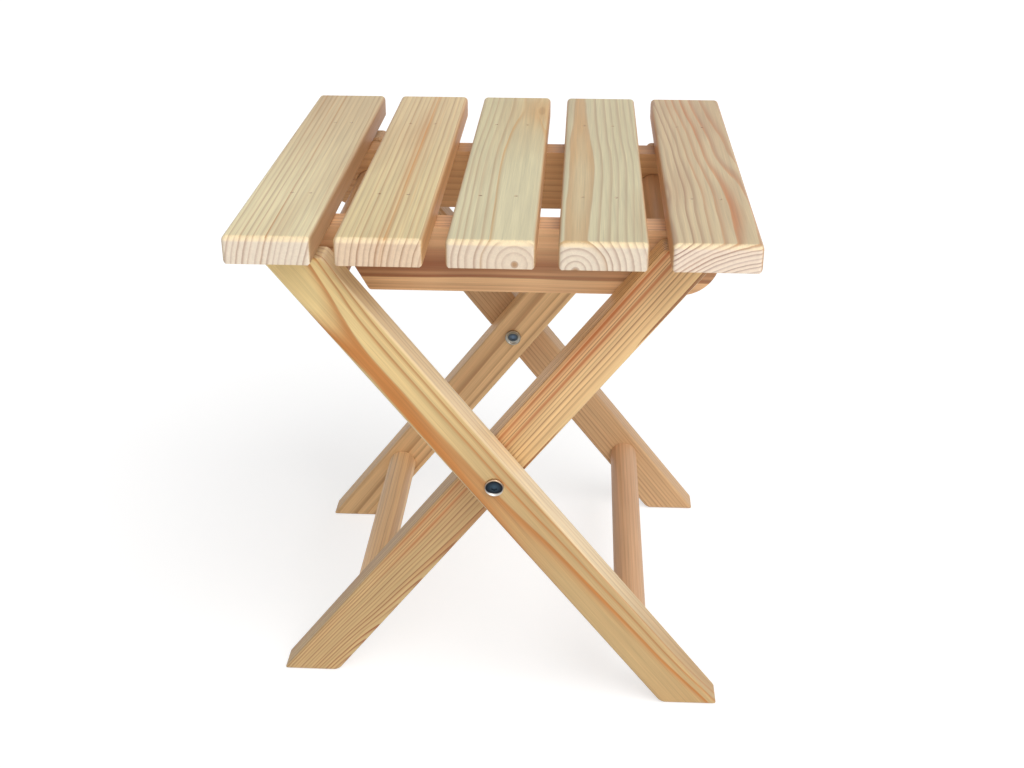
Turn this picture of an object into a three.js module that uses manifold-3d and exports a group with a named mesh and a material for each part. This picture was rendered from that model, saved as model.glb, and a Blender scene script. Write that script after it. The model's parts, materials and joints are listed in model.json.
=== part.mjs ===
// A folding stool in pine: a seat of slats on two leg frames that cross like scissors.
// Lengths are in millimetres. X runs across the slats, Y along them, and Z is up.
// The origin is on the floor, under the middle of the seat.
//
// The outer leg frame leans one way and the inner leg frame the other. Each frame is two
// legs joined by two round rods. The seat hinges on the inner frame's top rod, and the open
// notches near the other end of its rails drop over the outer frame's top rod.

import * as THREE from "three";
import { mergeVertices } from "three/addons/utils/BufferGeometryUtils.js";
import Module from "manifold-3d";

const wasm = await Module();
wasm.setup();

// Seat
const seatHeight = 450;
const slatCount = 5;
const slatWidth = 68;
const slatThickness = 22.5;
const slatLength = 430;
const slatGap = 17;
const slatEdgeRadius = 4;

// Rails under the slats
const railThickness = 30;
const railHeight = 56;
const railEndInset = 22;
const railEndRadius = 32;
const notchFlare = THREE.MathUtils.degToRad(29);
const notchLipRadius = 3;

// Legs
const legThickness = 30;
const legWidth = 40;
const legInset = 30;
const pivotHeight = 221;
const legTopGap = 5.5;
const heelRadius = 9;
const toeRadius = 2;
const shoulderRadius = 2;
const legEdgeBevel = 1.5;

// Rods between the legs
const rodRadius = 14;
const tenonRadius = 10;
const tenonLength = 20;
const upperRodDrop = 34;
// From each end of a rail to the centre of the rod there
const upperRodInset = 45.8;
const lowerRodHeight = 68.5;

// Pivot bolts, the sleeve nuts that they screw into, and the washers between the legs
const headRadius = 8;
const headThickness = 2.6;
const headChamfer = 0.9;
const socketRadius = 2.3;
const socketDepth = 2;
const boltRadius = 3;
const sleeveRadius = 4.5;
// How far the bolt and the sleeve reach towards each other, as shares of the legs they pin
const boltReachShare = 0.8;
const sleeveReachShare = 0.8;
const washerRadius = 9;
const washerThickness = 1;

// Brads that hold the slats to the rails
const bradRadius = 0.8;
const bradLength = 45;
const bradHeadRadius = 1.2;
const bradHeadThickness = 1;
const bradSink = 0.4;
const bradTipLength = 3;
// Where the two brads of each slat stand, as shares of its width
const bradPlaceShares = [
  [0.5, 0.725],
  [0.31, 0.66],
  [0.28, 0.71],
  [0.26, 0.66],
  [0.3, 0.645],
];

// Clearances
const seatedGap = 0.3;
const runningGap = 0.4;
const railSideGap = 0.6;
const overrun = 5;

// Facets
const roundSteps = 32;
const smallRoundSteps = 8;
const boltSteps = 24;
const socketSides = 6;
const cornerSteps = 5;

// Sizes that follow
const seatWidth = slatCount * slatWidth + (slatCount - 1) * slatGap;
const slatUnderside = seatHeight - slatThickness;
const outerLegFace = slatLength / 2 - legInset;
const legLayerGap = washerThickness + 2 * seatedGap;
const outerLegY = outerLegFace - legThickness / 2;
const innerLegY = outerLegY - legThickness - legLayerGap;
const railY = innerLegY - legThickness / 2 - railSideGap - railThickness / 2;
const railHalfLength = seatWidth / 2 - railEndInset;
const upperRodHeight = slatUnderside - upperRodDrop;
const upperRodX = railHalfLength - upperRodInset;
const legAngle = Math.atan2(upperRodHeight - pivotHeight, upperRodX);
const legTop = slatUnderside - legTopGap;
const footHalfSpread = pivotHeight / Math.tan(legAngle);
const lowerRodX = (pivotHeight - lowerRodHeight) / Math.tan(legAngle);
const headSeatOutside = outerLegFace + seatedGap;
const headSeatInside = innerLegY - legThickness / 2 - seatedGap;
const pinnedThickness = headSeatOutside - headSeatInside;

// Finishes
const pine = new THREE.MeshStandardMaterial({ color: 0xdcc08f, roughness: 0.6, metalness: 0 });
const darkPine = new THREE.MeshStandardMaterial({ color: 0xc59a66, roughness: 0.6, metalness: 0 });
const rodWood = new THREE.MeshStandardMaterial({ color: 0xc99f74, roughness: 0.55, metalness: 0 });
const zinc = new THREE.MeshStandardMaterial({ color: 0x9a9ca0, roughness: 0.3, metalness: 1 });

// A closed geometry as a solid that can be cut
function solidOf(geometry) {
  const bare = geometry.clone();
  bare.deleteAttribute("normal");
  bare.deleteAttribute("uv");
  const merged = mergeVertices(bare);
  return new wasm.Manifold(
    new wasm.Mesh({
      numProp: 3,
      vertProperties: new Float32Array(merged.attributes.position.array),
      triVerts: new Uint32Array(merged.index.array),
    }),
  );
}

// A solid back as a geometry with flat facets
function geometryOf(solid) {
  const mesh = solid.getMesh();
  const indexed = new THREE.BufferGeometry();
  indexed.setAttribute("position", new THREE.BufferAttribute(mesh.vertProperties, 3));
  indexed.setIndex(new THREE.BufferAttribute(mesh.triVerts, 1));
  const geometry = indexed.toNonIndexed();
  geometry.computeVertexNormals();
  return geometry;
}

function cut(geometry, cutters) {
  let solid = solidOf(geometry);
  for (const cutter of cutters) {
    solid = solid.subtract(solidOf(cutter));
  }
  return geometryOf(solid);
}

// A closed outline in the XZ plane, with an arc of its own radius at each corner
function roundedOutline(corners) {
  const shape = new THREE.Shape();
  corners.forEach(({ point, radius }, index) => {
    const before = corners[(index + corners.length - 1) % corners.length].point;
    const after = corners[(index + 1) % corners.length].point;
    const inward = before.clone().sub(point).normalize();
    const outward = after.clone().sub(point).normalize();
    const halfAngle = Math.acos(inward.dot(outward)) / 2;
    const start = point.clone().addScaledVector(inward, radius / Math.tan(halfAngle));
    const bisector = inward.clone().add(outward).normalize();
    const centre = point.clone().addScaledVector(bisector, radius / Math.sin(halfAngle));
    const sweep = Math.PI - 2 * halfAngle;
    const turn = Math.sign(outward.x * inward.y - outward.y * inward.x);
    const from = Math.atan2(start.y - centre.y, start.x - centre.x);
    if (index === 0) {
      shape.moveTo(start.x, start.y);
    } else {
      shape.lineTo(start.x, start.y);
    }
    if (radius > 0) {
      shape.absarc(centre.x, centre.y, radius, from, from + turn * sweep, turn < 0);
    }
  });
  shape.closePath();
  return shape;
}

// An outline in the XZ plane made a bar along Y, centred on y, with eased edges if it has a bevel
function barFrom(shape, thickness, y, bevel) {
  const geometry = new THREE.ExtrudeGeometry(shape, {
    depth: thickness - 2 * bevel,
    bevelEnabled: bevel > 0,
    bevelThickness: bevel,
    bevelSize: bevel,
    bevelOffset: -bevel,
    bevelSegments: 1,
    curveSegments: cornerSteps,
  });
  geometry.translate(0, 0, bevel - thickness / 2);
  geometry.rotateX(Math.PI / 2);
  geometry.translate(0, y, 0);
  return geometry;
}

// A turned piece about a line along Y, from pairs of radius and place along the line
function turned(profile, steps, x, z) {
  const points = profile.map(([radius, y]) => new THREE.Vector2(radius, y));
  return new THREE.LatheGeometry(points, steps).translate(x, 0, z);
}

// A plain round pin along Y, used as a cutter
function pin(radius, fromY, toY, x, z, steps) {
  const profile = [
    [0, fromY],
    [radius, fromY],
    [radius, toY],
    [0, toY],
  ];
  return turned(profile, steps, x, z);
}

function meshOf(name, geometry, material) {
  const mesh = new THREE.Mesh(geometry, material);
  mesh.name = name;
  return mesh;
}

// Front is at -Y and rear at +Y
const ends = [
  { label: "front", side: -1 },
  { label: "rear", side: 1 },
];

const slatIndexes = Array.from({ length: slatCount }, (_, index) => index);

function slatLeft(index) {
  return index * (slatWidth + slatGap) - seatWidth / 2;
}

// The places of the brads in a slat, across and along it
function bradPlaces(index) {
  const left = slatLeft(index);
  const shares = bradPlaceShares[index % bradPlaceShares.length];
  return ends.flatMap(({ label, side }) =>
    shares.map((share, number) => ({
      name: `slat_brad_${index + 1}_${label}_${number + 1}`,
      x: left + share * slatWidth,
      y: side * railY,
    })),
  );
}

// A turned piece standing on Z, from pairs of radius and height
function standing(profile, steps, x, y) {
  const points = profile.map(([radius, z]) => new THREE.Vector2(radius, z));
  const geometry = new THREE.LatheGeometry(points, steps);
  geometry.rotateX(Math.PI / 2);
  return geometry.translate(x, y, 0);
}

// The hole that a brad is driven into, through a slat and down into the rail
function bradHole({ x, y }) {
  const bottom = seatHeight - bradSink - bradLength - seatedGap;
  const neck = seatHeight - bradSink - bradHeadThickness - seatedGap;
  const profile = [
    [0, bottom],
    [bradRadius + seatedGap, bottom],
    [bradRadius + seatedGap, neck],
    [bradHeadRadius + seatedGap, neck],
    [bradHeadRadius + seatedGap, seatHeight + overrun],
    [0, seatHeight + overrun],
  ];
  return standing(profile, smallRoundSteps, x, y);
}

function brad(place) {
  const top = seatHeight - bradSink;
  const profile = [
    [0, top - bradLength],
    [bradRadius, top - bradLength + bradTipLength],
    [bradRadius, top - bradHeadThickness],
    [bradHeadRadius, top - bradHeadThickness],
    [bradHeadRadius, top],
    [0, top],
  ];
  return meshOf(place.name, standing(profile, smallRoundSteps, place.x, place.y), zinc);
}

function slat(index) {
  const left = slatLeft(index);
  const right = left + slatWidth;
  const section = [
    [left, slatUnderside],
    [right, slatUnderside],
    [right, seatHeight],
    [left, seatHeight],
  ];
  const corners = section.map(([x, z]) => ({
    point: new THREE.Vector2(x, z),
    radius: slatEdgeRadius,
  }));
  const blank = barFrom(roundedOutline(corners), slatLength, 0, 0);
  const holes = bradPlaces(index).map(bradHole);
  return meshOf(`seat_slat_${index + 1}`, cut(blank, holes), pine);
}

// The notch over the rest rod: round at the top, plumb on its outer side so that it holds the
// legs against spreading, and flared towards the hinge, which is the way the rod leaves
function notchCutter(y) {
  const radius = rodRadius + runningGap;
  const shelf = slatUnderside - railHeight - seatedGap;
  const mouth = shelf - overrun;
  const apex = upperRodHeight + radius / Math.tan(notchFlare / 2);
  const lip = (apex - shelf) * Math.tan(notchFlare) - upperRodX - radius;
  const far = lip + notchLipRadius + overrun;
  const corners = [
    { point: new THREE.Vector2(-upperRodX - radius, mouth), radius: 0 },
    { point: new THREE.Vector2(far, mouth), radius: 0 },
    { point: new THREE.Vector2(far, shelf), radius: 0 },
    { point: new THREE.Vector2(lip, shelf), radius: notchLipRadius },
    { point: new THREE.Vector2(-upperRodX - radius, apex), radius },
  ];
  return barFrom(roundedOutline(corners), railThickness + 2 * overrun, y, 0);
}

function rail({ label, side }) {
  const y = side * railY;
  const bottom = slatUnderside - railHeight;
  const corners = [
    { point: new THREE.Vector2(-railHalfLength, bottom), radius: railEndRadius },
    { point: new THREE.Vector2(railHalfLength, bottom), radius: railEndRadius },
    { point: new THREE.Vector2(railHalfLength, slatUnderside), radius: 0 },
    { point: new THREE.Vector2(-railHalfLength, slatUnderside), radius: 0 },
  ];
  const blank = barFrom(roundedOutline(corners), railThickness, y, 0);
  const nearFace = y - railThickness / 2 - overrun;
  const farFace = y + railThickness / 2 + overrun;
  const hingeHole = pin(rodRadius + runningGap, nearFace, farFace, upperRodX, upperRodHeight, roundSteps);
  const bradHoles = slatIndexes
    .flatMap(bradPlaces)
    .filter((place) => Math.sign(place.y) === side)
    .map(bradHole);
  const geometry = cut(blank, [hingeHole, notchCutter(y), ...bradHoles]);
  return meshOf(`seat_rail_${label}`, geometry, darkPine);
}

// The tip of an inner leg, rounded about its rod, so that the seat's slats can swing past it
function swungTip() {
  const swing = upperRodDrop - runningGap - seatedGap;
  const rise = legTop - upperRodHeight;
  const along = Math.sqrt(swing * swing - (legWidth / 2) ** 2);
  const sideAngle = legAngle - Math.atan2(legWidth / 2, along);
  const topAngle = Math.asin(rise / swing);
  const arc = new THREE.Path().absarc(upperRodX, upperRodHeight, swing, sideAngle, topAngle, false);
  return arc.getPoints(cornerSteps).map((point) => ({ point, radius: 0 }));
}

// A leg that rises towards +X when lean is 1, an inner one, and towards -X when it is -1, an
// outer one. Both ends are cut level. The seat turns on the inner legs alone, and it lifts off
// the outer ones as they fold, so these keep their tips.
function legOutline(lean) {
  const edgeShift = legWidth / 2 / Math.sin(legAngle);
  const topAxisX = (legTop - pivotHeight) / Math.tan(legAngle);
  const wholeTip = [{ point: new THREE.Vector2(topAxisX + edgeShift, legTop), radius: toeRadius }];
  const corners = [
    { point: new THREE.Vector2(-footHalfSpread - edgeShift, 0), radius: toeRadius },
    { point: new THREE.Vector2(-footHalfSpread + edgeShift, 0), radius: heelRadius },
    ...(lean > 0 ? swungTip() : wholeTip),
    { point: new THREE.Vector2(topAxisX - edgeShift, legTop), radius: shoulderRadius },
  ];
  if (lean > 0) {
    return roundedOutline(corners);
  }
  corners.forEach(({ point }) => {
    point.x = -point.x;
  });
  return roundedOutline(corners.reverse());
}

function leg(name, lean, side, y) {
  const blank = barFrom(legOutline(lean), legThickness, side * y, legEdgeBevel);
  const inside = side * (y - legThickness / 2 - overrun);
  const socketEnd = side * (y - legThickness / 2 + tenonLength + seatedGap);
  const outside = side * (y + legThickness / 2 + overrun);
  const socketRadiusInLeg = tenonRadius + seatedGap;
  const upper = [lean * upperRodX, upperRodHeight];
  const lower = [-lean * lowerRodX, lowerRodHeight];
  const sockets = [upper, lower].map(([x, z]) =>
    pin(socketRadiusInLeg, Math.min(inside, socketEnd), Math.max(inside, socketEnd), x, z, roundSteps),
  );
  const bore = pin(
    sleeveRadius + seatedGap,
    Math.min(inside, outside),
    Math.max(inside, outside),
    0,
    pivotHeight,
    boltSteps,
  );
  return meshOf(name, cut(blank, [...sockets, bore]), lean > 0 ? darkPine : pine);
}

// A rod between two legs, with a shouldered tenon at each end
function rod(name, x, z, legY) {
  const shoulder = legY - legThickness / 2 - seatedGap;
  const end = shoulder + tenonLength;
  const profile = [
    [0, -end],
    [tenonRadius, -end],
    [tenonRadius, -shoulder],
    [rodRadius, -shoulder],
    [rodRadius, shoulder],
    [tenonRadius, shoulder],
    [tenonRadius, end],
    [0, end],
  ];
  return meshOf(name, turned(profile, roundSteps, x, z), rodWood);
}

// The hexagon that a key turns, sunk into a head whose outer face is at y
function keySocket(y, inward) {
  const reach = y + inward * socketDepth;
  const start = y - inward * overrun;
  return pin(socketRadius, Math.min(start, reach), Math.max(start, reach), 0, pivotHeight, socketSides);
}

// The bolt's head is outside the outer leg, and its shank runs inwards
function pivotBolt({ label, side }) {
  const seat = side * headSeatOutside;
  const face = seat + side * headThickness;
  const tip = seat - side * boltReachShare * pinnedThickness;
  const profile = [
    [0, tip],
    [boltRadius, tip],
    [boltRadius, seat],
    [headRadius, seat],
    [headRadius, face - side * headChamfer],
    [headRadius - headChamfer, face],
    [0, face],
  ];
  const ordered = side > 0 ? profile : profile.reverse();
  const blank = turned(ordered, boltSteps, 0, pivotHeight);
  return meshOf(`pivot_bolt_${label}`, cut(blank, [keySocket(face, -side)]), zinc);
}

// The sleeve nut's head is inside the inner leg, and its sleeve is the pin that the legs turn on
function sleeveNut({ label, side }) {
  const seat = side * headSeatInside;
  const face = seat - side * headThickness;
  const mouth = seat + side * sleeveReachShare * pinnedThickness;
  const floor = seat + side * socketDepth;
  const bore = boltRadius + seatedGap;
  const profile = [
    [0, face],
    [headRadius - headChamfer, face],
    [headRadius, face + side * headChamfer],
    [headRadius, seat],
    [sleeveRadius, seat],
    [sleeveRadius, mouth],
    [bore, mouth],
    [bore, floor],
    [0, floor],
  ];
  const ordered = side > 0 ? profile : profile.reverse();
  const blank = turned(ordered, boltSteps, 0, pivotHeight);
  return meshOf(`pivot_sleeve_nut_${label}`, cut(blank, [keySocket(face, side)]), zinc);
}

function washer({ label, side }) {
  const middle = side * (innerLegY + legThickness / 2 + legLayerGap / 2);
  const near = middle - washerThickness / 2;
  const far = middle + washerThickness / 2;
  const hole = sleeveRadius + seatedGap;
  const profile = [
    [hole, near],
    [washerRadius, near],
    [washerRadius, far],
    [hole, far],
    [hole, near],
  ];
  return meshOf(`pivot_washer_${label}`, turned(profile, boltSteps, 0, pivotHeight), zinc);
}

function group(name, pieces) {
  const result = new THREE.Group();
  result.name = name;
  result.add(...pieces);
  return result;
}

const seat = group("seat", [
  ...slatIndexes.map(slat),
  ...ends.map(rail),
  ...slatIndexes.flatMap(bradPlaces).map(brad),
]);

const innerFrame = group("inner_frame", [
  ...ends.map(({ label, side }) => leg(`inner_leg_${label}`, 1, side, innerLegY)),
  rod("seat_hinge_rod", upperRodX, upperRodHeight, innerLegY),
  rod("inner_lower_rod", -lowerRodX, lowerRodHeight, innerLegY),
  ...ends.map(pivotBolt),
  ...ends.map(sleeveNut),
  ...ends.map(washer),
]);

const outerFrame = group("outer_frame", [
  ...ends.map(({ label, side }) => leg(`outer_leg_${label}`, -1, side, outerLegY)),
  rod("seat_rest_rod", -upperRodX, upperRodHeight, outerLegY),
  rod("outer_lower_rod", lowerRodX, lowerRodHeight, outerLegY),
]);

const stool = group("folding_stool", [seat, innerFrame, outerFrame]);

export default stool;
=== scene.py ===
# %% [markdown]
# # A folding stool in pine
# A seat of five slats lies on two rails. Two frames of legs cross under it and are held by round
# rods and pivot bolts. The CAD model gives every place and size. Here each board is made again
# with eased edges and drilled holes, and is given pine with real growth rings in it.

# %% Load the frame
import json
import math

import bpy
from mathutils import Matrix, Vector


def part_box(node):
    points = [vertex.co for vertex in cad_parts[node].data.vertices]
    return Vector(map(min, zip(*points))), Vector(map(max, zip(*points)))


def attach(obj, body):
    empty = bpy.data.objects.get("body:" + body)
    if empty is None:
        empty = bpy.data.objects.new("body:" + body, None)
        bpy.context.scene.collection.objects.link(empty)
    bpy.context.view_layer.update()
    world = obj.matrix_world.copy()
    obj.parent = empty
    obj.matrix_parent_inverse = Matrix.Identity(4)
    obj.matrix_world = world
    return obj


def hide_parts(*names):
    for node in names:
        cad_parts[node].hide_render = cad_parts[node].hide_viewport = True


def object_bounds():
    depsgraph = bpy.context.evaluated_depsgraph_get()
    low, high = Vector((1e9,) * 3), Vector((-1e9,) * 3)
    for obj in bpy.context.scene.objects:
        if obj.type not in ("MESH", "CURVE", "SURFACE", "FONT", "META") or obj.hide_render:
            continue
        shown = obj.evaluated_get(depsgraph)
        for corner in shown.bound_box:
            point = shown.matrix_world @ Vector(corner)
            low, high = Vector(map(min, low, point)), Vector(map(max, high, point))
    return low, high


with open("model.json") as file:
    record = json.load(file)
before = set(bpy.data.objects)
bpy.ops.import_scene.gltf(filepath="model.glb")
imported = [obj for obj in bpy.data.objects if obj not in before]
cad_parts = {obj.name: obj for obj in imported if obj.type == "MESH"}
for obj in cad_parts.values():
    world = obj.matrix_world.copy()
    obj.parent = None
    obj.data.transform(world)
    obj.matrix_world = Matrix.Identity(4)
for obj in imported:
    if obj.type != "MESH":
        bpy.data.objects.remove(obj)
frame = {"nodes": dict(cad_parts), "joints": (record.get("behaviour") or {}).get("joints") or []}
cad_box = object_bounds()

joints = {joint["name"]: joint for joint in frame["joints"]}
pivot = Vector(joints["leg_fold"]["pos_m"])
hinge = Vector(joints["seat_lift"]["pos_m"])
rest = Vector((-hinge.x, 0, hinge.z))
lean = math.atan2(hinge.z - pivot.z, hinge.x - pivot.x)
millimetre = 0.001
print("legs lean", round(math.degrees(lean), 2), "degrees; CAD box", cad_box)

# %% [markdown]
# ## The camera
# The photograph was taken from in front, a little to the right, and from above the seat. Its
# place and its lens were worked out from the stool's own straight lines, so the picture of this
# model falls on the photograph.

# %% Camera
image_width = 1024
focal_pixels = 1378.84
sensor_width = 36
camera_place = Vector((0.0666, -1.1841, 0.8045))
camera_turn = 0.0517
camera_dip = 0.4533
nearest_seen = 0.05
farthest_seen = 50

lens = bpy.data.cameras.new("photo_camera")
lens.sensor_width = sensor_width
lens.lens = focal_pixels * sensor_width / image_width
lens.clip_start = nearest_seen
lens.clip_end = farthest_seen
camera = bpy.data.objects.new("photo_camera", lens)
camera.location = camera_place
camera.rotation_euler = (math.pi / 2 - camera_dip, 0, camera_turn)
bpy.context.scene.collection.objects.link(camera)
bpy.context.scene.camera = camera
print("lens", round(lens.lens, 2), "mm")

# %% [markdown]
# ## Helpers for modelling
# Every piece starts as a primitive at its real size and place. These helpers deselect
# everything first, because an operator acts on all that is selected. They pick vertices, edges
# and faces by where they lie or look, draw faces out, and cut one shape away from another with a
# Boolean that is applied at once.


# %% Selecting
def select_only(piece):
    if bpy.context.mode != "OBJECT":
        bpy.ops.object.mode_set(mode="OBJECT")
    bpy.ops.object.select_all(action="DESELECT")
    if piece is not None:
        piece.select_set(True)
        bpy.context.view_layer.objects.active = piece


def pick(piece, kind, wanted):
    """Goes into edit mode with the wanted vertices, edges or faces selected, and counts them."""
    select_only(piece)
    bpy.ops.object.mode_set(mode="EDIT")
    bpy.ops.mesh.select_mode(type=kind)
    bpy.ops.mesh.select_all(action="DESELECT")
    bpy.ops.object.mode_set(mode="OBJECT")
    mesh = piece.data
    picked = 0
    for part in {"VERT": mesh.vertices, "EDGE": mesh.edges, "FACE": mesh.polygons}[kind]:
        part.select = wanted(part)
        picked += part.select
    bpy.ops.object.mode_set(mode="EDIT")
    return picked


same_place = 0.05 * millimetre
square_on_share = 0.9


def near(a, b):
    return abs(a - b) < same_place


def at(**places):
    """A test for points that lie at the given x, y or z."""
    return lambda point: all(near(getattr(point, axis), place) for axis, place in places.items())


# %% Shaping
def settle(name):
    """Names the new active object and puts its place into its mesh."""
    piece = bpy.context.object
    piece.name = name
    piece.data.name = name
    bpy.ops.object.transform_apply(location=True, rotation=True, scale=True)
    return piece


def block(name, low, high, turn=0.0):
    """A cuboid between two corners, turned about its own centre on the Y axis."""
    select_only(None)
    low, high = Vector(low), Vector(high)
    bpy.ops.mesh.primitive_cube_add(
        size=1, location=(low + high) / 2, rotation=(0, turn, 0), scale=high - low
    )
    return settle(name)


def cylinder(name, place, radius, length, sides, turn=0.0):
    """A round bar about its own middle, upright unless it is turned about the X axis."""
    select_only(None)
    bpy.ops.mesh.primitive_cylinder_add(
        vertices=sides, radius=radius, depth=length, location=place, rotation=(turn, 0, 0)
    )
    return settle(name)


def pin(name, x, z, radius, from_y, to_y, sides):
    """A round bar along Y."""
    return cylinder(name, (x, (from_y + to_y) / 2, z), radius, to_y - from_y, sides, math.pi / 2)


def draw_out(*move):
    """Extrudes what is selected."""
    bpy.ops.mesh.extrude_region_move(TRANSFORM_OT_translate={"value": move})


def round_edges(piece, ends_at, radius, steps, corner=math.pi / 2):
    """Rounds the edges whose two ends pass a test. Their faces meet at the angle called corner."""
    points = piece.data.vertices
    picked = pick(piece, "EDGE", lambda edge: all(ends_at(points[end].co) for end in edge.vertices))
    bpy.ops.mesh.bevel(offset=radius / math.tan(corner / 2), segments=steps, affect="EDGES")
    bpy.ops.object.mode_set(mode="OBJECT")
    return picked


def cut(piece, cutter):
    select_only(piece)
    tool = piece.modifiers.new("cut", "BOOLEAN")
    tool.operation = "DIFFERENCE"
    tool.solver = "EXACT"
    tool.object = cutter
    bpy.ops.object.modifier_apply(modifier=tool.name)
    bpy.data.objects.remove(cutter)


def ease(piece, width, steps, sharpest):
    """Takes the sharp edge off every corner that turns by more than sharpest."""
    select_only(piece)
    tool = piece.modifiers.new("ease", "BEVEL")
    tool.width = width
    tool.segments = steps
    tool.limit_method = "ANGLE"
    tool.angle_limit = sharpest
    tool.miter_outer = "MITER_ARC"
    bpy.ops.object.modifier_apply(modifier=tool.name)


crease_angle = math.radians(32)


def smooth(piece):
    """Shades curves smooth and keeps flat faces flat."""
    select_only(piece)
    bpy.ops.object.shade_smooth_by_angle(angle=crease_angle)
    tool = piece.modifiers.new("flat faces", "WEIGHTED_NORMAL")
    tool.keep_sharp = True
    bpy.ops.object.modifier_apply(modifier=tool.name)


def copy_of(piece, name, offset):
    twin = piece.copy()
    twin.data = piece.data.copy()
    twin.name = name
    twin.data.name = name
    twin.data.transform(Matrix.Translation(offset))
    bpy.context.scene.collection.objects.link(twin)
    return twin


# %% [markdown]
# ## Slats
# A slat is a planed board. Its edges could be rounded with a router, the top edges of the ends
# first and then once round each narrow side, while the bottom edges of the ends are only just
# eased. The bevels here follow that order, so the corners close by themselves. The brads are
# set just under the surface, each in a small hole.

# %% Slats
end_round, end_steps = 5 * millimetre, 6
side_round, side_steps = 4 * millimetre, 4
bottom_ease, bottom_steps = 0.9 * millimetre, 2
brad_gap = 0.3 * millimetre
hole_sides = 16
overrun = 5 * millimetre

slat_names = sorted(name for name in frame["nodes"] if name.startswith("seat_slat_"))
brad_names = sorted(name for name in frame["nodes"] if name.startswith("slat_brad_"))
rail_names = ["seat_rail_front", "seat_rail_rear"]


def middle(name):
    low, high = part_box(name)
    return (low + high) / 2


def size(name):
    low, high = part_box(name)
    return high - low


brad_head = size(brad_names[0]).x / 2
brad_shank = brad_head * 2 / 3
brad_head_depth = 1 * millimetre


def drill_for_brads(piece, inside):
    """Drills the holes of the brads that stand inside the given corners."""
    low, high = inside
    drilled = 0
    for name in brad_names:
        place = middle(name)
        if not (low.x < place.x < high.x and low.y < place.y < high.y):
            continue
        bottom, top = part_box(name)
        to_z = high.z + overrun
        for radius, from_z in (
            (brad_shank + brad_gap, bottom.z - brad_gap),
            (brad_head + brad_gap, top.z - brad_head_depth - brad_gap),
        ):
            if from_z < high.z:
                centre = (place.x, place.y, (from_z + to_z) / 2)
                cut(piece, cylinder("drill", centre, radius, to_z - from_z, hole_sides))
        drilled += 1
    return drilled


def make_slat(name):
    low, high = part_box(name)
    slat = block(name + "_board", low, high)
    for end in (low.y, high.y):
        round_edges(slat, at(y=end, z=high.z), end_round, end_steps)
    for side in (low.x, high.x):
        round_edges(slat, at(x=side), side_round, side_steps)
    for end in (low.y, high.y):
        round_edges(slat, at(y=end, z=low.z), bottom_ease, bottom_steps)
    drilled = drill_for_brads(slat, (low, high))
    smooth(slat)
    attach(slat, "seat")
    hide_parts(name)
    print(name, "has", drilled, "brad holes and", len(slat.data.polygons), "faces")
    return slat


slats = [make_slat(name) for name in slat_names]

# %% [markdown]
# ## Brads
# A brad is a thin headed nail. Only its head can be seen, but the whole nail is made: a turned
# shank, a shallow domed head and a point. One is modelled and the others are copies of it.

# %% Brads
brad_sides = 16
brad_tip = 3 * millimetre
head_dome, dome_steps = 0.25 * millimetre, 3


def make_brad(name):
    low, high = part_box(name)
    place = middle(name)
    place.z = high.z - brad_head_depth / 2
    brad = cylinder(name + "_nail", place, brad_head, brad_head_depth, brad_sides)
    pick(brad, "FACE", lambda face: face.normal.z < -square_on_share)
    bpy.ops.mesh.inset(thickness=brad_head - brad_shank)
    shank_length = high.z - brad_head_depth - low.z - brad_tip
    draw_out(0, 0, -shank_length)
    draw_out(0, 0, -brad_tip)
    bpy.ops.mesh.merge(type="CENTER")
    bpy.ops.object.mode_set(mode="OBJECT")
    round_edges(brad, at(z=high.z), head_dome, dome_steps)
    smooth(brad)
    return brad


first_brad = make_brad(brad_names[0])
brads = [first_brad]
for name in brad_names[1:]:
    brads.append(copy_of(first_brad, name + "_nail", middle(name) - middle(brad_names[0])))
for brad, name in zip(brads, brad_names):
    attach(brad, "seat")
    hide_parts(name)
print(len(brads), "brads,", round(size(brad_names[0]).z / millimetre, 1), "mm long")

# %% [markdown]
# ## Rails
# Each rail is a deep board with its lower corners cut round. Near the right end it has a round
# hole for the hinge rod. Near the left end an open notch drops over the other top rod. The
# notch is plumb on its outer side, which keeps the legs from spreading, and flared inwards.
# The notch's cutter starts as a circle. Its lower part is deleted, and the two open ends are
# drawn down into the straight sides.

# %% Rails
rail_corner, corner_steps = 32 * millimetre, 14
rail_ease, rail_ease_steps = 1.2 * millimetre, 2
rail_sharpest = math.radians(40)
notch_lip, lip_steps = 3 * millimetre, 5
rod_gap = 0.4 * millimetre
notch_flare = math.radians(29)
angle_slack = 0.01
rod_radius = size("seat_rest_rod").z / 2
hole_radius = rod_radius + rod_gap
arc_sides = 64


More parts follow.
